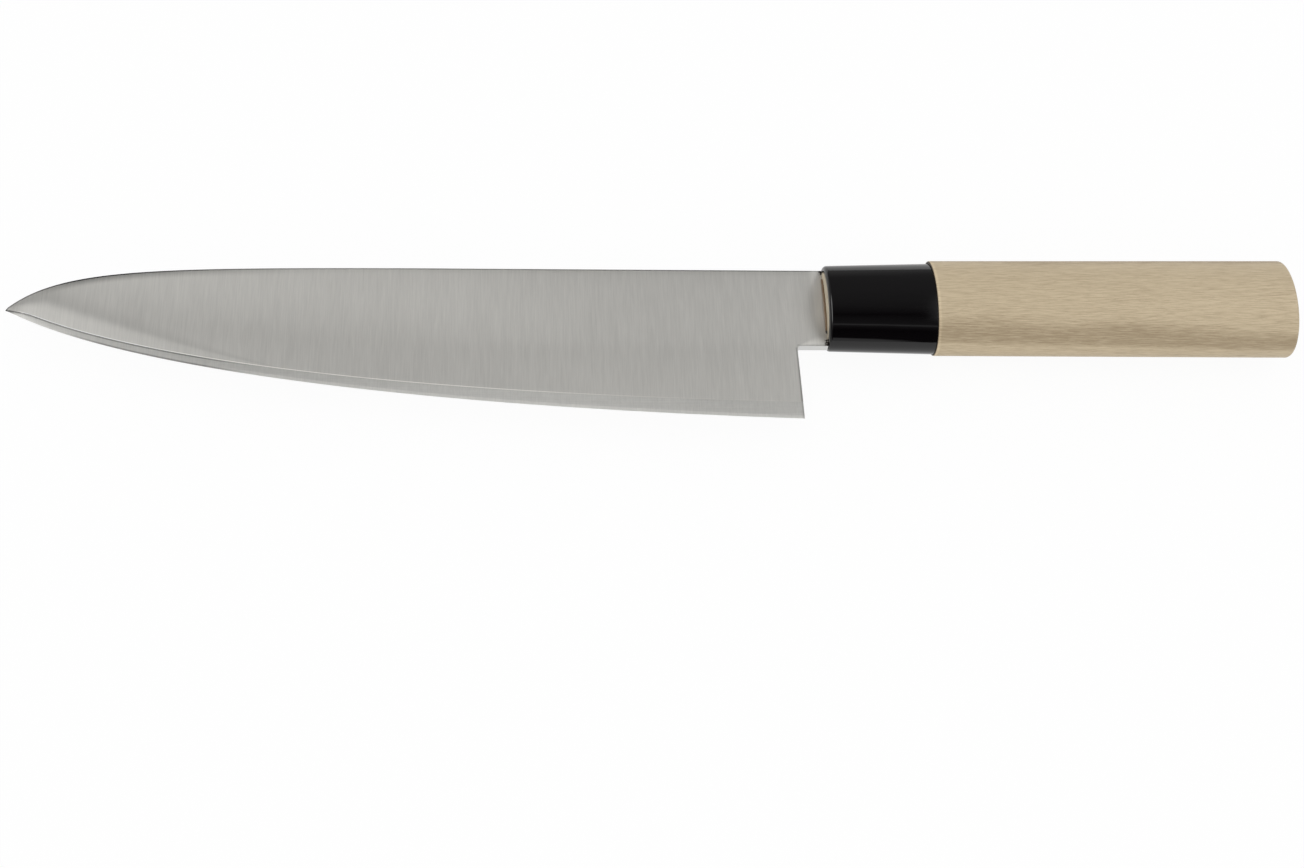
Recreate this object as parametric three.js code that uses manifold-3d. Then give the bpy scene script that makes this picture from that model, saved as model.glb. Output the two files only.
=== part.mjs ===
// Chef's knife with a three-layer blade and an oval wooden handle, lying on its side.
// Sizes are in millimetres and +z is up. The drawing frame has x = 0 at the front of the ferrule, +x towards
// the butt, +y towards the spine and z = 0 in the middle plane of the blade. The last lines shift the whole
// knife so that the origin lies under the middle of it, on the surface that it rests on.
import * as THREE from "three";
import { mergeVertices } from "three/addons/utils/BufferGeometryUtils.js";
import Module from "manifold-3d";

const wasm = await Module();
wasm.setup();

// Blade outline, with levels measured from the handle's axis
const bladeLength = 210; // tip to heel corner
const heelSetback = 7.9; // heel corner to the front of the ferrule
const spineLevel = 11;
const tipLevel = -2.4;
const heelLevel = -34.5;
const neckBottom = -13;
const heelLean = 0.65; // how far the top of the heel line lies in front of the heel corner
const choilRadius = 1;
const spineStraight = 82; // straight run of the spine in front of the ferrule
const noseAngle = THREE.MathUtils.degToRad(46); // spine at the tip
const noseReach = 20; // how long the spine keeps to that angle
const spineFullness = 0.705; // share of the curved run that stays close to the straight spine
const bellyAngle = THREE.MathUtils.degToRad(18.7); // edge at the tip
const bellyReach = 6.6;
const heelAngle = THREE.MathUtils.degToRad(2.15); // edge at the heel
const bellyFullness = 0.832; // share of the blade where the edge stays close to its line at the heel

// Blade layers
const stockThickness = 2.3;
const coreThickness = 0.7;
const noseThickness = 1.1; // all three layers, where the jackets begin behind the tip
const taperStart = 110; // the stock is parallel from the ferrule to here, and thins from here to the tip
const jacketLip = 0.12; // thickness of a jacket at its lower border
const jacketNose = 0.6; // height of a jacket where it begins
const bandAtTip = 1.7; // bare core between the jackets' border and the edge
const bandAtHeel = 4.8;
const grindAtTip = 6; // height of the ground flank above the jackets' border
const grindAtHeel = 15.4;
const grindShare = 0.8; // most of a jacket's height that the ground flank takes near the tip
const spineEase = 0.25;

// Tang and the resin that beds it
const tangLength = 88; // behind the front of the ferrule
const tangRootHeight = 15;
const tangEndHeight = 7;
const tangRootRun = 2; // how far the tang's root runs into the neck
const neckGap = 0.5; // between the end of the neck and the front of the handle
const tangFit = 0.1; // clearance round the tang
const beddingWall = 1.2;
const beddingFit = 0.1; // clearance between the bedding and its slot
const beadHalfHeight = 9.6; // resin squeezed out round the tang, in front of the wood
const beadHalfWidth = 2.6;

// Handle sections, as half heights and half widths of ovals
const ferruleLength = 29.3;
const woodLength = 100; // behind the ferrule
const axisDrop = 0.35; // the oval's centre at the front of the ferrule, below its centre at the butt
const spigotFront = [10.7, 6.5];
const spigotRear = [11.2, 7];
const ferruleFit = 0.12; // clearance between the spigot and the ferrule's bore
const ferruleFront = [12.7, 8.4];
const ferruleRear = [13.46, 8.95];
const ferruleDrop = 0.2; // the ferrule's outside sits a little below the wood's
const ferruleRound = 1;
const woodFront = [14.08, 9.4];
const woodRear = [14.48, 10.1];
const woodEase = 0.35; // eased edge of the wood's shoulder
const buttRound = 0.9;

// Fineness of the curves
const stationCount = 44;
const stationBias = 1.6; // crowds the stations towards the tip
const ovalSides = 56;
const roundSteps = 4;
const arcDivisions = 8;
const halvings = 60; // steps of a search between two limits
const cutMargin = 4; // how far a cutting body passes the surfaces that it cuts

// Places that follow from the sizes
const heelX = -heelSetback;
const tipX = heelX - bladeLength;
const neckEnd = -neckGap;
const buttX = ferruleLength + woodLength;
const coreHalf = coreThickness / 2;
const stockHalf = stockThickness / 2;
const noseHalf = noseThickness / 2;

// Value between low and high where a rising function reaches zero.
function rootOf(rising, low, high) {
  for (let step = 0; step < halvings; step++) {
    const middle = (low + high) / 2;
    if (rising(middle) < 0) low = middle;
    else high = middle;
  }
  return (low + high) / 2;
}

// Point at a reach from another point, in the direction of an angle that turns from +x towards +y.
function pointFrom(start, angle, reach) {
  return new THREE.Vector2(Math.cos(angle), Math.sin(angle)).multiplyScalar(reach).add(start);
}

const tip = new THREE.Vector2(tipX, tipLevel);
const shoulder = new THREE.Vector2(-spineStraight, spineLevel);
const heel = new THREE.Vector2(heelX, heelLevel);

const spineCurve = new THREE.CubicBezierCurve(
  tip,
  pointFrom(tip, noseAngle, noseReach),
  pointFrom(shoulder, Math.PI, spineFullness * (shoulder.x - tip.x)),
  shoulder,
);

const edgeCurve = new THREE.CubicBezierCurve(
  tip,
  pointFrom(tip, -bellyAngle, bellyReach),
  pointFrom(heel, Math.PI - heelAngle, bellyFullness * bladeLength),
  heel,
);

// Level of a curve that runs steadily towards +x, at a given x.
function levelOn(curve, x) {
  const share = rootOf((t) => curve.getPoint(t).x - x, 0, 1);
  return curve.getPoint(share).y;
}

const spineAt = (x) => (x < shoulder.x ? levelOn(spineCurve, x) : spineLevel);
const edgeAt = (x) => (x < heelX ? levelOn(edgeCurve, x) : heelLevel);
const alongBlade = (x) => (x - tipX) / bladeLength;
const borderAt = (x) => edgeAt(x) + THREE.MathUtils.lerp(bandAtTip, bandAtHeel, alongBlade(x));
const jacketStart = rootOf((x) => spineAt(x) - borderAt(x) - jacketNose, tipX, heelX);

// Half of the blade's thickness above the ground flank.
function outerHalfAt(x) {
  const thinning = Math.max(0, (-taperStart - x) / (-taperStart - jacketStart));
  return THREE.MathUtils.lerp(stockHalf, noseHalf, thinning);
}

const stations = Array.from({ length: stationCount + 1 }, (_, i) =>
  THREE.MathUtils.lerp(jacketStart, neckEnd, (i / stationCount) ** stationBias),
);

// Closed surface through rings of points that run counter-clockwise as seen from +x, from low x to high x.
// A ring of one point closes its end as a point; other end rings are closed flat.
function loft(rings) {
  const positions = rings.flat().flatMap((p) => [p.x, p.y, p.z]);
  const index = [];
  let first = 0;
  rings.slice(1).forEach((ring, i) => {
    const before = rings[i].length;
    const next = first + before;
    ring.forEach((_, j) => {
      const k = (j + 1) % ring.length;
      if (before === 1) {
        index.push(first, next + k, next + j);
      } else {
        index.push(first + j, first + k, next + j, first + k, next + k, next + j);
      }
    });
    first = next;
  });
  for (let j = 1; j + 1 < rings[0].length; j++) index.push(0, j + 1, j);
  for (let j = 1; j + 1 < rings.at(-1).length; j++) index.push(first, first + j, first + j + 1);
  const surface = new THREE.BufferGeometry();
  surface.setAttribute("position", new THREE.Float32BufferAttribute(positions, 3));
  surface.setIndex(index);
  return solidOf(surface);
}

// Body of a drawn outline between two levels of z.
function plate(outline, low, high) {
  const body = new THREE.ExtrudeGeometry(outline, {
    depth: high - low,
    bevelEnabled: false,
    curveSegments: arcDivisions,
  });
  return solidOf(body.translate(0, 0, low));
}

function solidOf(surface) {
  surface.deleteAttribute("normal");
  surface.deleteAttribute("uv");
  const merged = mergeVertices(surface);
  return new wasm.Manifold(
    new wasm.Mesh({
      numProp: 3,
      vertProperties: merged.attributes.position.array,
      triVerts: new Uint32Array(merged.index.array),
    }),
  );
}

function surfaceOf(solid) {
  const { vertProperties, triVerts } = solid.getMesh();
  const surface = new THREE.BufferGeometry();
  surface.setAttribute("position", new THREE.BufferAttribute(vertProperties, 3));
  surface.setIndex(new THREE.BufferAttribute(triVerts, 1));
  const facets = surface.toNonIndexed();
  facets.computeVertexNormals();
  return facets;
}

// Ring of points in the plane of one x, from [y, z] pairs.
const ringAt = (x, pairs) => pairs.map(([y, z]) => new THREE.Vector3(x, y, z));

// Oval ring round the handle's axis with the given half height and half width, drawn in by an inset and
// lowered by a drop.
function oval(x, [halfHeight, halfWidth], inset = 0, drop = 0) {
  const centre = axisDrop * (x / buttX - 1) - drop;
  const pairs = Array.from({ length: ovalSides }, (_, k) => {
    const turn = (2 * Math.PI * k) / ovalSides;
    return [centre + (halfHeight - inset) * Math.cos(turn), (halfWidth - inset) * Math.sin(turn)];
  });
  return ringAt(x, pairs);
}

// Rings of a rounded end, from a quarter circle that starts flat on the end face.
function roundedEnd(faceX, inward, size, radius, drop = 0) {
  return Array.from({ length: roundSteps + 1 }, (_, i) => {
    const turn = (Math.PI / 2) * (i / roundSteps);
    return oval(faceX + inward * radius * (1 - Math.cos(turn)), size, radius * (1 - Math.sin(turn)), drop);
  });
}

const grown = (size, extra) => size.map((value) => value + extra);

// Everything behind the heel line and below the neck, which is cut away from the blade.
function choilCut() {
  const heelTop = heelX - heelLean;
  const slope = heelLean / (neckBottom - heelLevel);
  const floor = heelLevel - cutMargin;
  const outline = new THREE.Shape();
  outline.moveTo(heelX + slope * cutMargin, floor);
  outline.lineTo(heelTop + slope * choilRadius, neckBottom - choilRadius);
  outline.quadraticCurveTo(heelTop, neckBottom, heelTop + choilRadius, neckBottom);
  outline.lineTo(cutMargin, neckBottom);
  outline.lineTo(cutMargin, floor);
  return plate(outline, -stockThickness, stockThickness);
}

// Outline of the tang from a start x, grown on its sides and end. The tang tapers behind x = 0.
function tangOutline(start, growth) {
  const upper = [
    new THREE.Vector2(0, tangRootHeight / 2 + growth),
    new THREE.Vector2(tangLength + growth, tangEndHeight / 2 + growth),
  ];
  if (start < 0) upper.unshift(new THREE.Vector2(start, tangRootHeight / 2 + growth));
  const lower = upper.map((point) => new THREE.Vector2(point.x, -point.y)).reverse();
  return new THREE.Shape([...upper, ...lower]);
}

// Hard middle layer, which carries the cutting edge.
function coreSteel() {
  const rings = stations.map((x) =>
    ringAt(x, [
      [spineAt(x), -coreHalf],
      [spineAt(x), coreHalf],
      [borderAt(x), coreHalf],
      [edgeAt(x), 0],
      [borderAt(x), -coreHalf],
    ]),
  );
  const point = ringAt(tipX, [[tipLevel, 0]]);
  const tang = plate(tangOutline(neckEnd - tangRootRun, 0), -coreHalf, coreHalf);
  return loft([point, ...rings]).subtract(choilCut()).add(tang);
}

// Soft outer layer on the +z side: parallel above, ground down to a thin lip above the bare core.
function jacket() {
  const rings = stations.map((x) => {
    const outer = outerHalfAt(x);
    const ease = Math.min(spineEase, (outer - coreHalf) / 2);
    const top = spineAt(x);
    const border = borderAt(x);
    const ground = THREE.MathUtils.lerp(grindAtTip, grindAtHeel, alongBlade(x));
    const grindTop = border + Math.min(ground, (top - ease - border) * grindShare);
    return ringAt(x, [
      [top, coreHalf],
      [top, outer - ease],
      [top - ease, outer],
      [grindTop, outer],
      [border, coreHalf + jacketLip],
      [border, coreHalf],
    ]);
  });
  const tang = plate(tangOutline(neckEnd - tangRootRun, 0), coreHalf, stockHalf);
  return loft(rings).subtract(choilCut()).add(tang);
}

// Resin sleeve round the tang, with the bead that shows between the neck and the wood.
function tangBedding() {
  const bead = loft([
    oval(neckEnd, [beadHalfHeight, beadHalfWidth]),
    oval(0, [beadHalfHeight, beadHalfWidth]),
  ]);
  const sleeve = plate(tangOutline(0, beddingWall), -stockHalf - beddingWall, stockHalf + beddingWall);
  const hollow = plate(tangOutline(-cutMargin, tangFit), -stockHalf - tangFit, stockHalf + tangFit);
  return sleeve.add(bead).subtract(hollow);
}

// Wooden handle: an oval body, a shoulder and the spigot that carries the ferrule.
function woodHandle() {
  const body = loft([
    oval(0, spigotFront),
    oval(ferruleLength, spigotRear),
    oval(ferruleLength, woodFront, woodEase),
    oval(ferruleLength + woodEase, woodFront),
    ...roundedEnd(buttX, -1, woodRear, buttRound).reverse(),
  ]);
  const wall = beddingWall + beddingFit;
  const slot = plate(tangOutline(-cutMargin, wall), -stockHalf - wall, stockHalf + wall);
  return body.subtract(slot);
}

// Tapered collar round the spigot, rounded at the front.
function ferrule() {
  const outside = loft([
    ...roundedEnd(0, 1, ferruleFront, ferruleRound, ferruleDrop),
    oval(ferruleLength, ferruleRear, 0, ferruleDrop),
  ]);
  const taper = spigotRear.map((value, i) => (value - spigotFront[i]) / ferruleLength);
  const boreFront = spigotFront.map((value, i) => value - taper[i] * cutMargin);
  const boreRear = spigotRear.map((value, i) => value + taper[i] * cutMargin);
  const bore = loft([
    oval(-cutMargin, grown(boreFront, ferruleFit)),
    oval(ferruleLength + cutMargin, grown(boreRear, ferruleFit)),
  ]);
  return outside.subtract(bore);
}

const jacketSteel = { color: 0xa8a7a3, roughness: 0.38, metalness: 1 };

const pieces = [
  ["core_steel", coreSteel(), { color: 0xaaaaa7, roughness: 0.5, metalness: 1 }],
  ["cladding_left", jacket(), jacketSteel],
  ["cladding_right", jacket(), jacketSteel],
  ["tang_bedding", tangBedding(), { color: 0x5a3d28, roughness: 0.45, metalness: 0 }],
  ["wood_handle", woodHandle(), { color: 0xbcaa8c, roughness: 0.7, metalness: 0 }],
  ["ferrule", ferrule(), { color: 0x0c0b0c, roughness: 0.12, metalness: 0 }],
];

// The part's own frame has its origin in the middle of the length and of the height, under the handle.
const knife = new THREE.Group();
knife.position.set(-(tipX + buttX) / 2, -(heelLevel + woodRear[0]) / 2, woodRear[1]);
for (const [name, solid, look] of pieces) {
  const mesh = new THREE.Mesh(surfaceOf(solid), new THREE.MeshStandardMaterial(look));
  mesh.name = name;
  if (name === "cladding_right") mesh.scale.z = -1;
  knife.add(mesh);
}

const part = new THREE.Group();
part.add(knife);

export default part;
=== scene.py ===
"""Looks of a chef's knife that lies on its side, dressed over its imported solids.

Sizes are in metres. The pieces are drawn in the knife's own frame, with x = 0 at the front of the ferrule,
+x towards the butt, +y towards the spine and z = 0 in the middle plane of the blade, and then moved to the
frame of the solids.
"""

import bisect
import logging
import math
from collections.abc import Callable, Sequence
from dataclasses import dataclass, fields
from enum import Enum

import bmesh
import bpy
from bmesh.types import BMEdge, BMesh, BMFace, BMVert
from mathutils import Matrix, Vector, noise
from mathutils.geometry import interpolate_bezier


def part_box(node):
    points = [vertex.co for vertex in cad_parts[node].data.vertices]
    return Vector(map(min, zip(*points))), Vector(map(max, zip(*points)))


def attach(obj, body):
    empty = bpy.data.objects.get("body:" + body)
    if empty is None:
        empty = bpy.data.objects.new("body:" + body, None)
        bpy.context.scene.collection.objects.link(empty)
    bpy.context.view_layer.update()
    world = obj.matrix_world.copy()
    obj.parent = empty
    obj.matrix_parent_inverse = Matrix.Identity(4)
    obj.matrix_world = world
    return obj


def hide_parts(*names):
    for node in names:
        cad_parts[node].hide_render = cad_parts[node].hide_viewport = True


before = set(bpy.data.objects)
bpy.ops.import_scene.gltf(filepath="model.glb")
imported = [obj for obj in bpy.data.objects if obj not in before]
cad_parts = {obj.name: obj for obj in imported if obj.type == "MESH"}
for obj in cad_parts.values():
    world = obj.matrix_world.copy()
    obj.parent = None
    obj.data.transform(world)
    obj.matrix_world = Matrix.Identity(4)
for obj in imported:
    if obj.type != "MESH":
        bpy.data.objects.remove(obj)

TOUCH = 1e-6  # points closer than this are one point; it also keeps divisors above zero
MIDDLE = 0.5  # middle of the range from 0 to 1
QUARTER_TURN = math.pi / 2.0
LOG = logging.getLogger("knife")

Colour = tuple[float, float, float]
Place = tuple[float, float, float]
Size = tuple[float, float]


def between(low: float, high: float, share: float) -> float:
    """Number at a share of the way from low to high."""
    return low + (high - low) * share


def clamped(share: float) -> float:
    """Number kept from 0 to 1."""
    return min(max(share, 0.0), 1.0)


def halfway(cosine: "Value | float") -> "Value | float":
    """Number from -1 to 1, moved to the range from 0 to 1."""
    return cosine * MIDDLE + MIDDLE


def grey(level: float) -> Colour:
    """Colour with the same level of red, green and blue."""
    return level, level, level


# Shader expressions


class Value:
    """Output socket of a node, which can be used in expressions with numbers and other values."""

    def __init__(self, graph: "Graph", socket: bpy.types.NodeSocket) -> None:
        """Keep the socket and the graph that gets the Math nodes."""
        self.graph = graph
        self.socket = socket

    def __add__(self, other: "Value | float") -> "Value":
        """Sum."""
        return self.graph.math("ADD", self, other)

    def __radd__(self, other: float) -> "Value":
        """Sum with a number on the left."""
        return self.graph.math("ADD", other, self)

    def __sub__(self, other: "Value | float") -> "Value":
        """Difference."""
        return self.graph.math("SUBTRACT", self, other)

    def __rsub__(self, other: float) -> "Value":
        """Difference from a number on the left."""
        return self.graph.math("SUBTRACT", other, self)

    def __mul__(self, other: "Value | float") -> "Value":
        """Product."""
        return self.graph.math("MULTIPLY", self, other)

    def __truediv__(self, other: "Value | float") -> "Value":
        """Quotient."""
        return self.graph.math("DIVIDE", self, other)

    def __abs__(self) -> "Value":
        """Size without its sign."""
        return self.graph.math("ABSOLUTE", self)

    def output(self, name: str) -> "Value":
        """Another output of the same node."""
        return Value(self.graph, self.socket.node.outputs[name])


class Graph:
    """Node tree of one finish or of the studio's world."""

    def __init__(self, tree: bpy.types.NodeTree) -> None:
        """Start with an empty tree."""
        self.tree = tree
        tree.nodes.clear()

    def node(
        self,
        kind: str,
        settings: dict | None = None,
        inputs: dict | None = None,
        output: int | str = 0,
    ) -> Value:
        """Add a node.

        Args:
            kind: Type of the node, without its ShaderNode prefix.
            settings: Properties of the node; stops are those of a colour ramp.
            inputs: Numbers, colours or values for its sockets, by name or number.
            output: Socket to hand back, by name or number.

        Returns:
            The chosen output.
        """
        made = self.tree.nodes.new("ShaderNode" + kind)
        for name, setting in (settings or {}).items():
            if name == "stops":
                self.set_stops(made.color_ramp, setting)
            else:
                setattr(made, name, setting)
        for key, given in (inputs or {}).items():
            if isinstance(given, Value):
                self.tree.links.new(given.socket, made.inputs[key])
            else:
                made.inputs[key].default_value = given
        if not made.outputs:
            return Value(self, None)
        return Value(self, made.outputs[output])

    @staticmethod
    def set_stops(ramp: bpy.types.ColorRamp, stops: Sequence[tuple[float, Colour]]) -> None:
        """Give a colour ramp its stops.

        Args:
            ramp: Ramp with Blender's two first stops.
            stops: Places from 0 to 1 with their colours, in order.
        """
        while len(ramp.elements) < len(stops):
            ramp.elements.new(1.0)
        for element, (place, colour) in zip(ramp.elements, stops):
            element.position = place
            element.color = (*colour, 1.0)

    def math(self, operation: str, *values: "Value | float") -> Value:
        """Math node of one or two values."""
        return self.node("Math", {"operation": operation}, dict(enumerate(values)))

    def vector(self, operation: str, first: "Value | Colour", second: "Value | Colour") -> Value:
        """Vector Math node of two vectors."""
        return self.node("VectorMath", {"operation": operation}, {0: first, 1: second})

    def shaded(self, colour: "Value | Colour", tone: Value) -> Value:
        """Colour made lighter or darker by a tone, where 1 leaves it as it is."""
        return self.node("VectorMath", {"operation": "SCALE"}, {0: colour, "Scale": tone})

    def mixed(self, factor: Value, first: "Value | Colour", second: "Value | Colour") -> Value:
        """Colour between two colours; a factor of 0 gives the first one, and 1 the second."""
        colours = [given if isinstance(given, Value) else (*given, 1.0) for given in (first, second)]
        return self.node("Mix", {"data_type": "RGBA"}, {0: factor, 6: colours[0], 7: colours[1]}, 2)

    def rise(self, value: Value, low: float, high: float) -> Value:
        """Smooth step from 0 at low to 1 at high; it falls where low is the larger one."""
        settings = {"interpolation_type": "SMOOTHSTEP"}
        return self.node("MapRange", settings, {"Value": value, "From Min": low, "From Max": high})

    def place(self, origin: Sequence[float] = (0.0, 0.0, 0.0)) -> Value:
        """Object coordinates, measured from an origin."""
        return self.vector("SUBTRACT", self.node("TexCoord", output="Object"), tuple(origin))

    def part(self, vector: Value, axis: str) -> Value:
        """Part of a vector along an axis; the other two are outputs of the same node."""
        return self.node("SeparateXYZ", None, {0: vector}, axis)

    def attribute(self, name: str) -> Value:
        """Number that the mesh holds at each of its points."""
        return self.node("Attribute", {"attribute_name": name}, output="Fac")

    def relief(self, height: Value, depth: float) -> Value:
        """Normal of a surface with a fine relief, whose height is a share of its depth."""
        return self.node("Bump", None, {"Height": height, "Distance": depth})


# Finishes


@dataclass(frozen=True)
class Band:
    """Stretch of a distance, a share or a noise over which a tone comes in."""

    none: float  # where nothing of the tone shows
    full: float  # where all of it shows
    tone: float = 1.0

    def over(self, value: Value) -> Value:
        """Tone at a value."""
        return value.graph.rise(value, self.none, self.full) * self.tone


@dataclass(frozen=True)
class Grain:
    """Noise whose blotches have their own size along each axis."""

    size: Place
    tone: float = 1.0  # how much of it shows in the colour
    detail: float = 2.0  # how many finer layers are added
    rough: float = 0.5  # strength of the finer layers

    def over(self, place: Value) -> Value:
        """Make the noise.

        Args:
            place: Coordinates.

        Returns:
            Numbers from about -0.5 to 0.5.
        """
        stretched = place.graph.vector("DIVIDE", place, self.size)
        inputs = {"Vector": stretched, "Scale": 1.0, "Detail": self.detail, "Roughness": self.rough}
        return place.graph.node("TexNoise", None, inputs) - MIDDLE


@dataclass(frozen=True)
class Gaps:
    """Distances from the lines of the blade, which its meshes hold at each of their points."""

    tip: Value  # behind the tip
    spine: Value  # below the spine
    border: Value  # above the border of the jackets
    edge: Value  # above the cutting edge

    @classmethod
    def names(cls) -> list[str]:
        """Names of the attributes that hold the distances."""
        return [f"{field.name}_gap" for field in fields(cls)]

    @classmethod
    def read(cls, graph: Graph) -> "Gaps":
        """Distances for a finish, from the attributes of its mesh."""
        return cls(*map(graph.attribute, cls.names()))


@dataclass(frozen=True)
class Finish:
    """A named material, whose surface each kind of finish makes in its own way."""

    name: str

    def material(self) -> bpy.types.Material:
        """Make the material.

        Returns:
            The material with its nodes.
        """
        made = bpy.data.materials.new(self.name)
        made.use_nodes = True
        graph = Graph(made.node_tree)
        graph.node("OutputMaterial", None, {"Surface": self.surface(graph)})
        return made

    def surface(self, graph: Graph) -> Value:
        """Make the nodes of the finish, and hand back its shader."""
        raise NotImplementedError


@dataclass(frozen=True)
class JacketSteel(Finish):
    """Soft outer steel, brushed across the blade."""

    corner: Place  # inner corner between the heel and the neck
    neck_run: float  # length of the neck behind that corner
    neck_height: float
    colour: Colour = (0.766, 0.754, 0.718)
    handle_reflection_tint: Colour = (0.400, 0.335, 0.265)  # brown tint beside the handle: painted reflection of the handle and painted shade near it
    grime: Colour = (0.050, 0.042, 0.036)  # dark specks at the ends of the joint
    roughness: float = 0.55
    roughness_sway: float = 0.06
    fine_streak: Grain = Grain((0.00034, 0.008, 0.008), 0.23, 3.0, 0.6)
    broad_streak: Grain = Grain((0.0030, 0.018, 0.018), 0.07)
    speck: Grain = Grain((0.0007, 0.0007, 0.0007))
    streak_depth: float = 0.000012
    # Tones by the depth below the spine, the height above the border and the distance from the tip
    # painted shade: a dark line under the spine, and a softer painted shade below it near the tip
    spine_shade_line: Band = Band(0.0006, 0.0002, -0.48)
    rim_shade: Band = Band(0.0027, 0.0, -0.50)
    rim_start: Band = Band(0.004, 0.020)
    rim_run: Band = Band(0.120, 0.020)
    # painted shade, a little darker under the spine away from the tip
    shoulder: Band = Band(0.007, 0.0, -0.03)
    shoulder_start: Band = Band(0.085, 0.125)
    # painted shade, darker towards the border away from the tip
    flank: Band = Band(0.025, 0.0, -0.20)
    flank_loss: Band = Band(0.10, 0.17, 0.60)
    # painted shade, darker towards the heel
    towards_heel: Band = Band(0.10, 0.19, -0.13)
    # painted highlight: a bright line along the border, strongest near the tip
    lip: Band = Band(0.00035, 0.00014)
    lip_highlight: float = 0.08
    lip_highlight_near_tip: Band = Band(0.190, 0.110, 0.38)
    # Zone above the border that was thinned near the tip, measured in its own height; it gets a painted
    # highlight, and the shallow valley above it painted shade
    thinned_height: float = 0.0057
    thinned_fall: Band = Band(0.082, 0.012)
    thinned_share: float = 0.58  # most of the blade's height that the zone takes
    thinned_run: Band = Band(0.078, -0.005)
    thinned_start: Band = Band(0.0015, 0.006)
    thinned: Band = Band(1.25, 0.50, 0.24)
    unthinned: Band = Band(0.50, 1.25)
    valley_foot: Band = Band(0.75, 1.10)
    valley_shade: Band = Band(2.1, 1.15, -0.055)
    valley_run: Band = Band(0.085, 0.065)
    point: Band = Band(0.020, 0.0053, -0.04)
    # Tones round the neck, by the distance behind its corner, the height above it and the share of its
    # length: a dark line along the heel, a painted highlight in a patch and a line of painted shade above the
    # neck's underside, and painted light that makes the neck's end lighter
    heel_line: Band = Band(-0.0006, -0.0003, -0.30)
    heel_slope: float = 0.030  # lean of the heel over its height
    below_neck: Band = Band(0.0, -0.001)
    wedge_height: float = 0.0024
    wedge_slope: float = 0.45
    wedge_highlight: Band = Band(1.4, 0.45, 0.25)
    neck_edge_shade: Band = Band(0.0006, 0.0002, -0.30)
    on_neck: Band = Band(-0.0002, 0.0004)
    neck_end_light: Band = Band(0.50, 0.82, 0.30)
    neck_end_light_start: Band = Band(0.003, 0.011)
    handle_reflection_share: Band = Band(0.80, 1.02, 0.45)
    handle_reflection_waver: float = 0.45
    dirt_start: Band = Band(0.86, 0.94)
    dirt_ends: Band = Band(0.36, 0.46, 0.30)
    dirt: Band = Band(0.20, 0.30)

    def thinned_tone(self, gaps: Gaps) -> Value:
        """Painted highlight where the blade was thinned behind the tip, and painted shade in the shallow
        valley above it.

        Args:
            gaps: Distances from the lines of the blade.

        Returns:
            What the zone and the shallow valley above it add to the tone.
        """
        share = gaps.border / (gaps.border + gaps.spine + TOUCH)
        height = self.thinned_fall.over(gaps.tip) * self.thinned_height + TOUCH
        reach = share.graph.math("MAXIMUM", gaps.border / height, share / self.thinned_share)
        # painted shade in the shallow valley above the zone
        valley = self.valley_foot.over(reach) * self.valley_shade.over(reach)
        valley = valley * self.valley_run.over(gaps.tip)
        point = self.point.over(gaps.tip) * self.unthinned.over(reach)
        # painted highlight over the thinned zone
        run = self.thinned_run.over(gaps.tip) * self.thinned_start.over(gaps.tip)
        return self.thinned.over(reach) * run + valley + point

    def outline_tone(self, gaps: Gaps) -> Value:
        """Painted shade as a dark line under the spine, a painted highlight along the border, and the slow
        change of painted shade between them.

        Args:
            gaps: Distances from the lines of the blade.

        Returns:
            What they add to the tone.
        """
        # painted shade under the spine
        run = self.rim_run.over(gaps.tip)
        shade = self.rim_shade.over(gaps.spine) * self.rim_start.over(gaps.tip) * run * run
        spine_shade_line = self.spine_shade_line.over(gaps.spine) + shade
        # painted shade near the spine, on the flank and towards the heel
        shoulder = self.shoulder.over(gaps.spine) * self.shoulder_start.over(gaps.tip)
        flank = self.flank.over(gaps.border) * (1.0 - self.flank_loss.over(gaps.tip))
        # painted highlight along the border
        highlight = (self.lip_highlight + self.lip_highlight_near_tip.over(gaps.tip)) * self.thinned_start.over(gaps.tip)
        lip = self.lip.over(gaps.border) * highlight
        return spine_shade_line + shoulder + flank + lip + self.towards_heel.over(gaps.tip)

    def neck_tone(self, behind: Value, above: Value) -> Value:
        """Dark line along the heel, a painted highlight in a narrow patch with a line of painted shade along
        the neck's lower edge, and painted light that makes the end of the neck lighter.

        Args:
            behind: Distance behind the inner corner.
            above: Height above the inner corner.

        Returns:
            What they add to the tone.
        """
        heel = self.below_neck.over(above) * self.heel_line.over(behind + above * self.heel_slope)
        slope = above / behind.graph.math("MAXIMUM", behind * self.wedge_slope, TOUCH)
        # painted highlight in the patch above the neck's underside
        wedge_highlight = self.wedge_highlight.over(behind.graph.math("MAXIMUM", slope, above / self.wedge_height))
        # painted light that makes the end of the neck lighter beside the handle
        neck_end_light = self.neck_end_light.over(behind / self.neck_run) * self.neck_end_light_start.over(above)
        return heel + (wedge_highlight + self.neck_edge_shade.over(above)) * self.on_neck.over(behind) + neck_end_light

    def tinted(self, place: Value, behind: Value, above: Value, waver: Value) -> Value:
        """Colour of the steel, with a brown tint of painted reflection and shade of the handle, and its dark
        specks beside the handle.

        Args:
            place: Coordinates.
            behind: Distance behind the inner corner.
            above: Height above the inner corner.
            waver: Noise that breaks the edge of the tint.

        Returns:
            The colour.
        """
        along = behind / self.neck_run
        from_middle = abs(above / self.neck_height - MIDDLE)
        speck = self.speck.over(place) + self.dirt_ends.over(from_middle)
        dirt = self.dirt_start.over(along) * self.dirt.over(speck)
        # brown painted reflection and shade of the handle
        handle_reflection_share = self.handle_reflection_share.over(along + waver * self.handle_reflection_waver)
        return place.graph.mixed(dirt, place.graph.mixed(handle_reflection_share, self.colour, self.handle_reflection_tint), self.grime)

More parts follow.
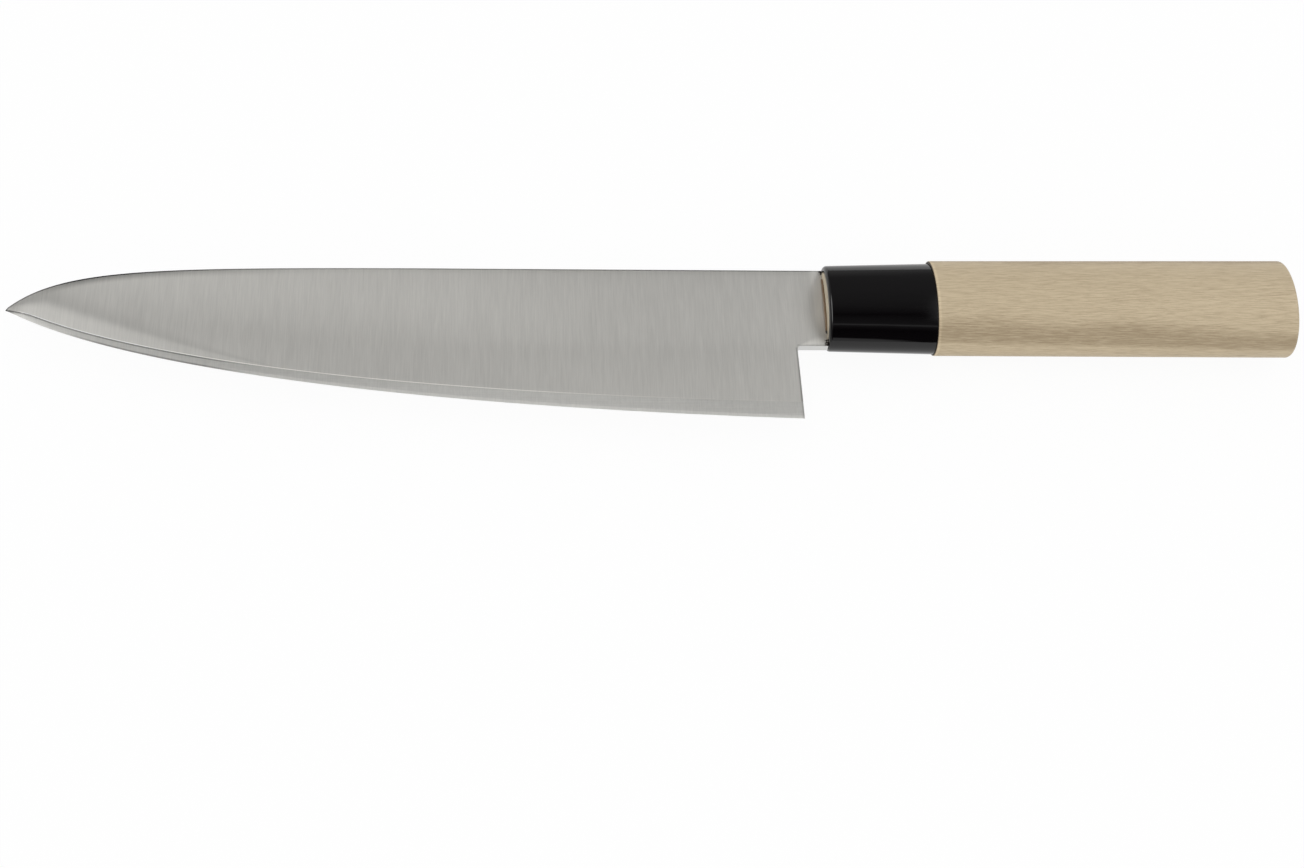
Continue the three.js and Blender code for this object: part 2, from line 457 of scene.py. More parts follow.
    def surface(self, graph: Graph) -> Value:
        """Brushed steel with a painted highlight where it was thinned behind the tip.

        Args:
            graph: Node tree of the material.

        Returns:
            The shader.
        """
        place = graph.place()
        behind = graph.part(graph.place(self.corner), "X")
        above = behind.output("Y")
        fine = self.fine_streak.over(place)
        broad = self.broad_streak.over(place)
        gaps = Gaps.read(graph)
        tone = 1.0 + fine * self.fine_streak.tone + broad * self.broad_streak.tone
        tone = tone + self.outline_tone(gaps) + self.thinned_tone(gaps) + self.neck_tone(behind, above)
        return graph.node("BsdfPrincipled", None, {
            "Base Color": graph.shaded(self.tinted(place, behind, above, broad), tone),
            "Metallic": 1.0,
            "Roughness": self.roughness + fine * self.roughness_sway,
            "Normal": graph.relief(fine, self.streak_depth),
        })


@dataclass(frozen=True)
class CoreSteel(Finish):
    """Hard steel of the cutting edge, stoned to a mottled matt band."""

    colour: Colour = (0.622, 0.616, 0.590)
    roughness: float = 0.55
    roughness_sway: float = 0.08
    mottle: Grain = Grain((0.0016, 0.0009, 0.0016), 0.16, 3.0, 0.6)
    scratch: Grain = Grain((0.00022, 0.0030, 0.0030), 0.20)
    stone_line: Grain = Grain((0.030, 0.00045, 0.00045), 0.17)
    scratch_depth: float = 0.000008
    # Tones by the distances from the edge, the border, the spine and the tip
    base_tone: float = 0.895
    near_tip: Band = Band(0.070, 0.050)
    middle: Band = Band(0.045, 0.130, 0.20)
    heel_loss: Band = Band(0.150, 0.195, 0.56)
    # painted highlight on the honed bevel, away from the tip
    hone: Band = Band(0.0010, 0.0007, 0.15)
    lip: Band = Band(-0.00050, -0.00025, -0.40)
    # painted highlight along the edge near the tip
    glow: Band = Band(0.0015, 0.0, 0.19)
    edge_highlight_run: Band = Band(0.030, 0.0)
    # painted shade: a dark line under the spine where the core reaches it at the tip
    spine_shade_line: Band = Band(0.0007, 0.0002, -0.45)
    point: Band = Band(0.005, 0.002, -0.18)
    burr: Band = Band(0.0006, 0.0003, -0.36)
    burr_start: Band = Band(0.010, 0.028)
    heel_line: Band = Band(0.2094, 0.2097, -0.27)

    def tone(self, gaps: Gaps) -> Value:
        """Tone along the band.

        Args:
            gaps: Distances from the lines of the blade.

        Returns:
            The tone without its mottling.
        """
        near_tip = self.near_tip.over(gaps.tip)
        middle = self.middle.over(gaps.tip) * (1.0 - self.heel_loss.over(gaps.tip))
        # painted highlights along the edge and on the honed bevel
        glow = self.glow.over(gaps.edge) * self.edge_highlight_run.over(gaps.tip)
        burr = self.burr.over(gaps.edge) * self.burr_start.over(gaps.tip)
        hone = self.hone.over(gaps.edge) * (1.0 - near_tip)
        # painted shade under the spine at the tip, with the dark line along the border and the burr
        at_tip = (self.lip.over(gaps.border) + self.spine_shade_line.over(gaps.spine) + burr) * near_tip
        ends = self.point.over(gaps.tip) + self.heel_line.over(gaps.tip)
        return self.base_tone + middle + hone + glow + at_tip + ends

    def surface(self, graph: Graph) -> Value:
        """Matt steel with a painted highlight along the edge and a dark line along the border.

        Args:
            graph: Node tree of the material.

        Returns:
            The shader.
        """
        place = graph.place()
        mottle = self.mottle.over(place)
        scratch = self.scratch.over(place)
        stone = self.stone_line.over(place)
        grain = mottle * self.mottle.tone + scratch * self.scratch.tone + stone * self.stone_line.tone
        return graph.node("BsdfPrincipled", None, {
            "Base Color": graph.shaded(self.colour, self.tone(Gaps.read(graph)) + grain),
            "Metallic": 1.0,
            "Roughness": self.roughness + mottle * self.roughness_sway,
            "Normal": graph.relief(scratch, self.scratch_depth),
        })


@dataclass(frozen=True)
class GroundSteel(Finish):
    """Steel of the spine, the heel and the underside of the neck, ground along its length."""

    colour: Colour = (0.62, 0.62, 0.605)
    roughness: float = 0.30
    roughness_sway: float = 0.10
    scratch: Grain = Grain((0.010, 0.00016, 0.00016), 0.15, 3.0)
    scratch_depth: float = 0.000008

    def surface(self, graph: Graph) -> Value:
        """Bright steel with fine lengthwise scratches.

        Args:
            graph: Node tree of the material.

        Returns:
            The shader.
        """
        scratch = self.scratch.over(graph.place())
        return graph.node("BsdfPrincipled", None, {
            "Base Color": graph.shaded(self.colour, 1.0 + scratch * self.scratch.tone),
            "Metallic": 1.0,
            "Roughness": self.roughness + scratch * self.roughness_sway,
            "Normal": graph.relief(scratch, self.scratch_depth),
        })


@dataclass(frozen=True)
class BlackPolish(Finish):
    """Black moulded collar, polished to a deep gloss."""

    colour: Colour = (0.0014, 0.0009, 0.0013)
    roughness: float = 0.07
    roughness_sway: float = 0.10
    gloss_level: float = 0.45
    wave: Grain = Grain((0.012, 0.003, 0.003), 0.4, 1.0)
    scuff: Grain = Grain((0.004, 0.00018, 0.00018), 0.8, 3.0, 0.6)
    scuff_height: float = 0.03  # height of a scuff as a share of the waves
    wave_depth: float = 0.00003

    def surface(self, graph: Graph) -> Value:
        """Black gloss with faint moulding waves and polishing scuffs.

        Args:
            graph: Node tree of the material.

        Returns:
            The shader.
        """
        place = graph.place()
        wave = self.wave.over(place)
        scuff = self.scuff.over(place)
        marks = scuff * self.scuff.tone + wave * self.wave.tone
        return graph.node("BsdfPrincipled", None, {
            "Base Color": graph.shaded(self.colour, 1.0 + marks),
            "Roughness": self.roughness + marks * self.roughness_sway,
            "Specular IOR Level": self.gloss_level,
            "Normal": graph.relief(wave + scuff * self.scuff_height, self.wave_depth),
        })


@dataclass(frozen=True)
class PaleWood(Finish):
    """Bare fine-grained wood with its grain along the handle."""

    origin: Place  # the knife's own origin
    shoulder: float  # place of the shoulder behind the ferrule
    light: Colour = (0.585, 0.479, 0.321)
    dark: Colour = (0.362, 0.277, 0.170)
    # dark line on the shoulder's face just behind the ferrule
    joint_dark: Colour = (0.030, 0.018, 0.008)
    roughness: float = 0.50
    roughness_sway: float = 0.12
    gloss_level: float = 0.50
    pith: Size = (-0.00215, -0.020)  # middle of the growth rings, in y and z
    pith_slope: float = 0.018  # how the rings climb towards the butt
    ring_width: float = 0.0075
    ring_start: float = 0.02562
    ring_line: Band = Band(0.20, 1.0, 0.60)
    bend: Grain = Grain((0.040, 0.008, 0.008), 0.0018)  # its tone is a length here, as is that of the wave
    wave: Grain = Grain((0.0060, 0.0022, 0.0022), 0.0003, 1.0)
    streak: Grain = Grain((0.030, 0.0012, 0.0012), 0.30, 3.0, 0.55)
    ripple: Grain = Grain((0.0032, 0.0005, 0.0005), 0.22)
    fibre: Grain = Grain((0.0045, 0.00022, 0.00022), 2.4, 3.0, 0.6)
    pore: Grain = Grain((0.0014, 0.00022, 0.00022), 1.0, 1.0)
    pore_line: Band = Band(0.10, 0.24, 0.22)
    fibre_depth: float = 0.00006
    base_share: float = 0.21  # how far the tone goes to the dark colour all over
    behind_spigot: Band = Band(0.020, 0.021)
    # dark line on the shoulder's face just behind the ferrule
    joint_dark_line: Band = Band(0.00016, 0.00006, 0.95)
    # painted highlight on the wood's eased edge at the shoulder
    chamfer_highlight_start: Band = Band(0.00012, 0.0003, 0.16)
    chamfer_highlight_end: Band = Band(0.0011, 0.0005)

    def ring(self, place: Value) -> Value:
        """Dark lines of the growth rings.

        Args:
            place: Coordinates from the knife's own origin.

        Returns:
            What they add to the share of the dark colour.
        """
        graph = place.graph
        along = graph.part(place, "X")
        up = along.output("Y") - self.pith[0] - along * self.pith_slope
        out = along.output("Z") - self.pith[1]
        radius = graph.math("SQRT", up * up + out * out) + self.bend.over(place) * self.bend.tone
        turns = (radius - self.ring_start) * (2.0 * math.pi / self.ring_width)
        return self.ring_line.over(graph.math("SINE", turns))

    def shoulder_coloured(self, place: Value, colour: Value) -> Value:
        """Colour with the dark line and the painted highlight on the wood's edge at the shoulder.

        Args:
            place: Coordinates from the knife's own origin.
            colour: Colour of the wood.

        Returns:
            The colour.
        """
        graph = place.graph
        along = graph.part(place, "X")
        gap = along - self.shoulder
        # painted highlight on the wood's eased edge at the shoulder
        chamfer_highlight = self.chamfer_highlight_start.over(gap) * self.chamfer_highlight_end.over(gap)
        # dark line on the shoulder's face just behind the ferrule
        joint_darkened = self.joint_dark_line.over(gap) * self.behind_spigot.over(along)
        return graph.mixed(joint_darkened, graph.shaded(colour, 1.0 + chamfer_highlight), self.joint_dark)

    def surface(self, graph: Graph) -> Value:
        """Wood made of bent growth rings, streaks, ripples, wavy fibres and pores.

        Args:
            graph: Node tree of the material.

        Returns:
            The shader.
        """
        place = graph.place(self.origin)
        shift = graph.node("CombineXYZ", None, {1: self.wave.over(place) * self.wave.tone})
        wavy = graph.vector("ADD", place, shift)
        streak = self.streak.over(wavy)
        ripple = self.ripple.over(wavy)
        fibre = self.fibre.over(wavy)
        pore = self.pore_line.over(self.pore.over(wavy))
        share = self.base_share + self.ring(place) + streak * self.streak.tone
        share = share + ripple * self.ripple.tone + fibre * self.fibre.tone + pore
        return graph.node("BsdfPrincipled", None, {
            "Base Color": self.shoulder_coloured(place, graph.mixed(share, self.light, self.dark)),
            "Roughness": self.roughness + fibre * self.roughness_sway,
            "Specular IOR Level": self.gloss_level,
            "Normal": graph.relief(fibre + ripple - pore, self.fibre_depth),
        })


@dataclass(frozen=True)
class BrownResin(Finish):
    """Cured resin that holds the tang, almost black where it is thick."""

    origin: Place  # the knife's own origin
    thin: Colour = (0.155, 0.098, 0.052)
    thick: Colour = (0.018, 0.013, 0.010)
    roughness: float = 0.35
    roughness_sway: float = 0.20
    blotch: Grain = Grain((0.0008, 0.0008, 0.0008), 0.7, 3.0, 0.6)
    blotch_depth: float = 0.0001
    ends: Band = Band(0.0078, 0.0090)  # height from the middle where the resin gathers
    gathered: Band = Band(0.1, 0.7)

    def surface(self, graph: Graph) -> Value:
        """Brown resin with dark ends and blotches.

        Args:
            graph: Node tree of the material.

        Returns:
            The shader.
        """
        place = graph.place(self.origin)
        blotch = self.blotch.over(place)
        height = abs(graph.part(place, "Y"))
        thickness = self.gathered.over(self.ends.over(height) + blotch * self.blotch.tone)
        return graph.node("BsdfPrincipled", None, {
            "Base Color": graph.mixed(thickness, self.thin, self.thick),
            "Roughness": self.roughness + blotch * self.roughness_sway,
            "Normal": graph.relief(blotch, self.blotch_depth),
        })


@dataclass(frozen=True)
class PalePaper(Finish):
    """White floor that shows as paper white, and still takes a soft shadow."""

    colour: Colour = grey(0.94)
    glow: float = 0.94  # share of plain white that the camera and reflections see
    mirrored: Band = Band(0.02, 0.0)  # how far back reflections see it as plain white

    def surface(self, graph: Graph) -> Value:
        """Matt white, mixed with plain white for the rays that see it as the background.

        Args:
            graph: Node tree of the material.

        Returns:
            The shader.
        """
        back = graph.part(graph.place(), "Y")
        ray = graph.node("LightPath", output="Is Camera Ray")
        seen = graph.math("MAXIMUM", ray, ray.output("Is Transmission Ray"))
        mirrored = ray.output("Is Glossy Ray") * self.mirrored.over(back)
        share = graph.math("MAXIMUM", seen, mirrored) * self.glow
        matt = graph.node("BsdfDiffuse", None, {"Color": (*self.colour, 1.0)})
        white = graph.node("Emission", None, {"Strength": 1.0})
        return graph.node("MixShader", None, {0: share, 1: matt, 2: white})


# Mesh helpers


def vertices_of(geometry: Sequence) -> list[BMVert]:
    """Vertices among the things that an operator made."""
    return [item for item in geometry if isinstance(item, BMVert)]


def edges_of(geometry: Sequence) -> list[BMEdge]:
    """Edges among the things that an operator made."""
    return [item for item in geometry if isinstance(item, BMEdge)]


def end_face(bm: BMesh, at_high: bool) -> BMFace:
    """Face whose middle lies furthest along x, at the high end or at the low end."""
    pick = max if at_high else min
    return pick(bm.faces, key=lambda face: face.calc_center_median().x)


def split_face(bm: BMesh, face: BMFace, axis: int, place: float, keep_above: bool) -> BMFace:
    """Cut a flat end face along a level of y or z.

    Args:
        bm: Mesh of the face.
        face: Face to cut.
        axis: 1 for a level of y, 2 for a level of z.
        place: The level.
        keep_above: Which part to hand back.

    Returns:
        The part of the face above or below the level.
    """
    normal = Vector()
    normal[axis] = 1.0
    geometry = [face, *face.edges, *face.verts]
    cut = bmesh.ops.bisect_plane(bm, geom=geometry, dist=TOUCH, plane_co=normal * place, plane_no=normal)
    parts = [item for item in cut["geom"] if isinstance(item, BMFace)]
    pick = max if keep_above else min
    return pick(parts, key=lambda part: part.calc_center_median()[axis])


def strip_of(bm: BMesh, face: BMFace, axis: int, reach: float) -> BMFace:
    """Part of a flat end face within a reach of the middle, along y (axis 1) or z (axis 2)."""
    face = split_face(bm, face, axis, reach, False)
    return split_face(bm, face, axis, -reach, True)


def pull_out(bm: BMesh, face: BMFace, move: Matrix) -> BMFace:
    """Draw a face out of a mesh, with walls behind it.

    Args:
        bm: Mesh of the face.
        face: Face to draw out; it makes way for the walls.
        move: Where its copy goes.

    Returns:
        The copy at the end.
    """
    grown = bmesh.ops.extrude_face_region(bm, geom=[face])["geom"]
    bmesh.ops.delete(bm, geom=[face], context="FACES_ONLY")
    bmesh.ops.transform(bm, matrix=move, verts=vertices_of(grown))
    return next(item for item in grown if isinstance(item, BMFace))


def punch(bm: BMesh, face: BMFace, half: Size, depth: float, end_half: Size) -> BMFace:
    """Push a rectangle in the middle of an end face along x, to an end of another size.

    Args:
        bm: Mesh of the face.
        face: Flat end face.
        half: Half height and half width of the rectangle.
        depth: How far along x it moves.
        end_half: Half height and half width at its end.

    Returns:
        The face at the end.
    """
    for axis, reach in enumerate(half, start=1):
        face = strip_of(bm, face, axis, reach)
    stretch = Matrix.Diagonal((1.0, end_half[0] / half[0], end_half[1] / half[1], 1.0))
    return pull_out(bm, face, Matrix.Translation((depth, 0.0, 0.0)) @ stretch)


def loft(bm: BMesh, rings: Sequence[Matrix], sides: int) -> tuple[list[BMEdge], list[BMEdge]]:
    """Draw a unit circle out through a row of rings.

    Args:
        bm: Mesh that gets the surface.
        rings: Matrices that turn the unit circle into each ring.
        sides: Points of a ring.

    Returns:
        Edges of the first ring and of the last ring.
    """
    circle = bmesh.ops.create_circle(bm, segments=sides, radius=1.0, matrix=rings[0])["verts"]
    first = list(dict.fromkeys(edge for vertex in circle for edge in vertex.link_edges))
    last = first
    for before, after in zip(rings, rings[1:]):
        grown = bmesh.ops.extrude_edge_only(bm, edges=last)["geom"]
        fresh = set(vertices_of(grown))
        bmesh.ops.transform(bm, matrix=after @ before.inverted(), verts=list(fresh))
        last = [edge for edge in edges_of(grown) if fresh.issuperset(edge.verts)]
    return first, last


def sort_faces(bm: BMesh, second: Callable[[Vector], bool]) -> None:
    """Turn all faces outwards, and give some of them the second finish.

    Args:
        bm: Closed mesh.
        second: Tells by a face's normal whether it gets the second finish.
    """
    bmesh.ops.recalc_face_normals(bm, faces=bm.faces)
    bm.normal_update()
    for face in bm.faces:
        face.material_index = int(second(face.normal))


def add_object(name: str, bm: BMesh, finishes: Sequence[bpy.types.Material]) -> bpy.types.Object:
    """Turn a mesh into an object of the scene.

    Args:
        name: Name of the object.
        bm: Mesh; it is freed.
        finishes: Materials of its faces.

    Returns:
        The object.
    """
    mesh = bpy.data.meshes.new(name)
    bm.to_mesh(mesh)
    bm.free()
    for finish in finishes:
        mesh.materials.append(finish)
    made = bpy.data.objects.new(name, mesh)
    bpy.context.scene.collection.objects.link(made)
    return made


@dataclass
class Piece:
    """What a mesh needs to become a piece of the knife."""

    name: str
    node: str
    slot: str
    finishes: list[bpy.types.Material]
    sharp_angle: float = math.radians(35.0)

    def place(self, bm: BMesh, origin: Vector) -> None:
        """Turn a mesh into the piece that stands for its solid.

        Args:
            bm: Closed mesh in the knife's own frame; it is freed.
            origin: Place of the knife's own origin in the frame of the solids.
        """
        bmesh.ops.translate(bm, vec=origin, verts=bm.verts)
        made = add_object(self.name, bm, self.finishes)
        made.data.shade_smooth()
        made.data.set_sharp_from_angle(angle=self.sharp_angle)
        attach(made, "root")
        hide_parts(self.node)
        LOG.info("%s: %d faces, stands for %s", self.name, len(made.data.polygons), self.node)


# Blade


class Side(Enum):
    """Face of the blade; the left one lies up."""

    LEFT = 1.0
    RIGHT = -1.0


@dataclass
class Blade:
    """Three-layer blade: a hard core between two brushed jackets."""

    length: float = 0.210
    heel_setback: float = 0.0079  # from the heel to the front of the ferrule
    spine_level: float = 0.011
    tip_level: float = -0.0024
    heel_level: float = -0.03449
    neck_bottom: float = -0.013
    heel_lean: float = 0.00065
    choil_radius: float = 0.001
    choil_steps: int = 5
    choil_profile: float = 0.5  # a round corner
    spine_straight: float = 0.082
    nose_angle: float = math.radians(46.0)
    nose_reach: float = 0.020
    spine_fullness: float = 0.705
    belly_angle: float = math.radians(18.7)
    belly_reach: float = 0.0066
    heel_angle: float = math.radians(2.15)
    belly_fullness: float = 0.832
    stock_half: float = 0.00115  # half of the thickness above the ground flank
    core_half: float = 0.00035
    nose_half: float = 0.00045  # the same at the front of the jackets
    taper_start: float = 0.110  # from the ferrule to where the blade begins to thin
    jacket_lip: float = 0.00004  # step from the core to a jacket at the border
    jacket_nose: float = 0.0006  # height of a jacket at its front
    band_at_tip: float = 0.0017
    band_at_heel: float = 0.0048
    band_growth: float = 0.009  # distance from the tip over which the band widens
    grind_at_tip: float = 0.006
    grind_at_heel: float = 0.0154
    grind_share: float = 0.8  # most of a jacket's height that the grind takes
    grind_roundness: float = 1.8  # 1 is a flat flank, 2 a flank that rounds all the way up
    hone_height: float = 0.0006
    hone_half: float = 0.00012
    spine_ease: float = 0.00025  # radius of the spine's edges
    neck_gap: float = 0.00006  # between the neck and the wood
    tang_length: float = 0.088
    tang_root_half: float = 0.0075
    tang_end_half: float = 0.0035
    columns: int = 150
    column_bias: float = 1.5  # above 1, the columns lie closer together towards the tip
    nose_columns: int = 8
    low_rows: int = 12  # rows from the border to the level of the neck's underside
    high_rows: int = 16
    ease_rows: int = 4
    band_rows: int = 4
    curve_points: int = 400
    side_slope: float = 0.35  # a face whose normal has less of z than this is no part of the blade's flanks

    def __post_init__(self) -> None:
        """Draw the spine and the edge, and find the inner corner and the front of the jackets."""
        self.heel = Vector((-self.heel_setback, self.heel_level))
        self.tip = Vector((self.heel.x - self.length, self.tip_level))
        self.corner = Vector((self.heel.x - self.heel_lean, self.neck_bottom, 0.0))
        shoulder = Vector((-self.spine_straight, self.spine_level))
        curved_run = self.spine_fullness * (shoulder.x - self.tip.x)
        self.spine_line = interpolate_bezier(
            self.tip,
            self.point_from(self.tip, self.nose_angle, self.nose_reach),
            self.point_from(shoulder, math.pi, curved_run),
            shoulder,
            self.curve_points,
        )
        self.edge_line = interpolate_bezier(
            self.tip,
            self.point_from(self.tip, -self.belly_angle, self.belly_reach),
            self.point_from(self.heel, math.pi - self.heel_angle, self.belly_fullness * self.length),
            self.heel,
            self.curve_points,
        )
        self.jacket_start = next(
            point.x
            for point in self.edge_line
            if self.spine(point.x) - self.full_border(point.x) > self.jacket_nose
        )

    @staticmethod
    def point_from(start: Vector, angle: float, reach: float) -> Vector:
        """Point at a reach from another point, in the direction of an angle."""
        return start + reach * Vector((math.cos(angle), math.sin(angle)))

    @staticmethod
    def level_on(line: Sequence[Vector], x: float) -> float:
        """Level of a line of points at an x.

        Args:
            line: Points in order of x.
            x: Place along the line.

        Returns:
            The level y.
        """
        right = bisect.bisect_left(line, x, 1, len(line) - 1, key=lambda point: point.x)
        before, after = line[right - 1], line[right]
        return between(before.y, after.y, clamped((x - before.x) / (after.x - before.x)))

    def spine(self, x: float) -> float:
        """Level of the spine."""
        return self.spine_level if x >= -self.spine_straight else self.level_on(self.spine_line, x)

    def edge(self, x: float) -> float:
        """Level of the cutting edge."""
        return self.level_on(self.edge_line, x)

    def along(self, x: float) -> float:
        """Share of the way from the tip to the heel."""
        return clamped((x - self.tip.x) / self.length)

    def full_border(self, x: float) -> float:
        """Level of the jackets' border where the blade is high enough for it."""
        growth = 1.0 - (1.0 - clamped((x - self.tip.x) / self.band_growth)) ** 2
        return self.edge(x) + between(self.band_at_tip, self.band_at_heel, self.along(x)) * growth

    def border(self, x: float) -> float:
        """Level of the jackets' border, which runs out into the tip in front of the jackets.

        Args:
            x: Place along the blade.

        Returns:
            The level y.
        """
        if x >= self.jacket_start:
            return self.full_border(x)
        low = self.edge(self.jacket_start)
        share = (self.full_border(self.jacket_start) - low) / (self.spine(self.jacket_start) - low)
        return between(self.edge(x), self.spine(x), share)

    def outer_half(self, x: float) -> float:
        """Half of the blade's thickness above the ground flank."""
        thinning = clamped((-self.taper_start - x) / (-self.taper_start - self.jacket_start))
        return between(self.stock_half, self.nose_half, thinning)

    def flank_half(self, x: float, height: float) -> float:
        """Half of the blade's thickness at a height above the border.

        Args:
            x: Place along the blade.
            height: Height above the border.

        Returns:
            The half thickness.
        """
        full = (self.spine(x) - self.spine_ease - self.border(x)) * self.grind_share
        ground = min(between(self.grind_at_tip, self.grind_at_heel, self.along(x)), full)
        low = self.core_half + self.jacket_lip
        rounding = 1.0 - (1.0 - clamped(height / ground)) ** self.grind_roundness
        return between(low, self.outer_half(x), rounding)

    def jacket_section(self, x: float) -> list[Size]:
        """Points of a jacket's outline at one x, from the border over the face to the spine.

        Args:
            x: Place along the blade.

        Returns:
            Pairs of y and z.
        """
        outer = self.outer_half(x)
        ease = min(self.spine_ease, (outer - self.core_half) / 2.0)
        border, top = self.border(x), self.spine(x)
        heel_border = self.border(self.heel.x)
        neck_share = (self.neck_bottom - heel_border) / (self.spine_level - self.spine_ease - heel_border)
        low = [neck_share * row / self.low_rows for row in range(self.low_rows)]
        high = [between(neck_share, 1.0, row / self.high_rows) for row in range(self.high_rows + 1)]
        levels = [between(border, top - ease, share) for share in low + high]
        face = [(level, self.flank_half(x, level - border)) for level in levels]
        turns = [QUARTER_TURN * row / self.ease_rows for row in range(1, self.ease_rows + 1)]
        eased = [
            (top - ease + ease * math.sin(turn), outer - ease + ease * math.cos(turn)) for turn in turns
        ]
        return [(border, self.core_half), *face, *eased, (top, self.core_half)]

    def core_section(self, x: float) -> list[Size]:
        """Points of half of the core's outline at one x, from the middle of the spine to the edge.

        Args:
            x: Place along the blade.

        Returns:
            Pairs of y and z.
        """
        fullness = clamped((x - self.tip.x) / (self.jacket_start - self.tip.x))
        half = self.core_half * fullness
        edge, border, top = self.edge(x), self.border(x), self.spine(x)
        hone_top = edge + min(self.hone_height, (border - edge) / 2.0)
        shares = [row / self.band_rows for row in range(self.band_rows + 1)]
        hone = self.hone_half * fullness
        band = [(between(border, hone_top, share), between(half, hone, share)) for share in shares]
        return [(top, 0.0), (top, half), *band, (edge, 0.0)]

    def stations(self) -> list[float]:
        """Places along the blade where a jacket's outline is drawn, closer together towards the tip."""
        shares = [(column / self.columns) ** self.column_bias for column in range(self.columns + 1)]
        return [between(self.jacket_start, self.heel.x, share) for share in shares]

    def skin(self, places: Sequence[float], sections: Sequence[Sequence[Size]]) -> BMesh:
        """Sheet through the outlines at a row of places.

        Args:
            places: Values of x.
            sections: One outline of y and z pairs for each place, all with as many points.

        Returns:
            Mesh of the sheet, with its distances from the blade's lines as attributes.
        """
        bm = bmesh.new()
        layers = [bm.verts.layers.float.new(name) for name in Gaps.names()]
        columns, rows = len(places) - 1, len(sections[0]) - 1
        bmesh.ops.create_grid(bm, x_segments=columns, y_segments=rows, size=1.0)
        for vertex in bm.verts:
            column = round(halfway(vertex.co.x) * columns)
            row = round(halfway(vertex.co.y) * rows)
            x = places[column]
            y, z = sections[column][row]
            lean = self.heel_lean * (y - self.heel_level) / (self.neck_bottom - self.heel_level)
            vertex.co = (x - lean * self.along(x), y, z)
            gaps = (x - self.tip.x, self.spine(x) - y, y - self.border(x), y - self.edge(x))
            for layer, gap in zip(layers, gaps):
                vertex[layer] = gap
        return bm

    def add_neck(self, bm: BMesh) -> None:
        """Draw the neck and the tang out of the heel's end of a closed layer.

        Args:
            bm: Layer of the blade from the tip to the heel.
        """
        flat_end = Matrix.Translation((-self.neck_gap, 0.0, 0.0)) @ Matrix.Diagonal((0.0, 1.0, 1.0, 1.0))
        neck = split_face(bm, end_face(bm, True), 1, self.neck_bottom, True)
        root = strip_of(bm, pull_out(bm, neck, flat_end), 1, self.tang_root_half)
        taper = self.tang_end_half / self.tang_root_half
        for run, share in ((self.neck_gap, 1.0), (self.tang_length, taper)):
            move = Matrix.Translation((run, 0.0, 0.0)) @ Matrix.Diagonal((1.0, share, 1.0, 1.0))
            root = pull_out(bm, root, move)

    def round_choil(self, bm: BMesh) -> None:
        """Round the inner corner between the heel and the neck.

        Args:
            bm: Layer of the blade with its neck.
        """
        edges = [
            edge
            for edge in bm.edges
            if all((vertex.co.xy - self.corner.xy).length < TOUCH for vertex in edge.verts)
        ]
        bmesh.ops.bevel(
            bm,
            geom=edges,
            offset=self.choil_radius,
            segments=self.choil_steps,
            profile=self.choil_profile,
            affect="EDGES",
            material=-1,
        )

    def complete(self, bm: BMesh, side: Side) -> None:
        """Close the sheet of a layer, and add its neck, its tang and its rounded inner corner.

        Args:
            bm: Sheet whose open ends lie at the tip and the heel.
            side: Where the layer goes; the right side gets its mirror image.
        """
        bmesh.ops.remove_doubles(bm, verts=bm.verts, dist=TOUCH)
        bmesh.ops.holes_fill(bm, edges=bm.edges, sides=0)
        bmesh.ops.recalc_face_normals(bm, faces=bm.faces)
        self.add_neck(bm)
        self.round_choil(bm)
        bmesh.ops.scale(bm, vec=(1.0, 1.0, side.value), verts=bm.verts)
        sort_faces(bm, lambda normal: abs(normal.z) < self.side_slope)

    def jacket(self, side: Side) -> BMesh:
        """Outer layer of one side.

        Args:
            side: Side of the blade.

        Returns:
            Closed mesh in the knife's own frame.
        """
        places = self.stations()
        bm = self.skin(places, [self.jacket_section(x) for x in places])
        back = [
            edge
            for edge in bm.edges
            if edge.is_boundary and all(abs(vertex.co.z - self.core_half) < TOUCH for vertex in edge.verts)
        ]
        bmesh.ops.bridge_loops(bm, edges=back)
        self.complete(bm, side)
        return bm

    def core(self) -> BMesh:
        """Middle layer with the cutting edge.

        Returns:
            Closed mesh in the knife's own frame.
        """
        shares = [column / self.nose_columns for column in range(self.nose_columns)]
        places = [between(self.tip.x, self.jacket_start, share) for share in shares] + self.stations()
        bm = self.skin(places, [self.core_section(x) for x in places])
        everything = [*bm.verts, *bm.edges, *bm.faces]
        bmesh.ops.mirror(bm, geom=everything, matrix=Matrix(), merge_dist=TOUCH, axis="Z")
        self.complete(bm, Side.LEFT)
        return bm

    def tang_sizes(self, wall: float) -> tuple[Size, Size]:
        """Half height and half width of the tang at its root and at its end, with a wall round it."""
        width = self.stock_half + wall
        return (self.tang_root_half + wall, width), (self.tang_end_half + wall, width)

    def dress(self, origin: Vector) -> None:
        """Build the three layers in their finishes.

        Args:
            origin: Place of the knife's own origin in the frame of the solids.
        """
        ground = GroundSteel("ground_steel").material()
        neck = (-self.corner.x, self.spine_level - self.neck_bottom)
        brushed = JacketSteel("brushed_jacket_steel", tuple(origin + self.corner), *neck).material()
        stoned = CoreSteel("stoned_core_steel").material()
        Piece("blade_core", "core_steel", "core_steel", [stoned, ground]).place(self.core(), origin)
        for side in Side:
            word = side.name.lower()
            piece = Piece(f"blade_jacket_{word}", f"cladding_{word}", "jacket_steel", [brushed, ground])
            piece.place(self.jacket(side), origin)


# Handle


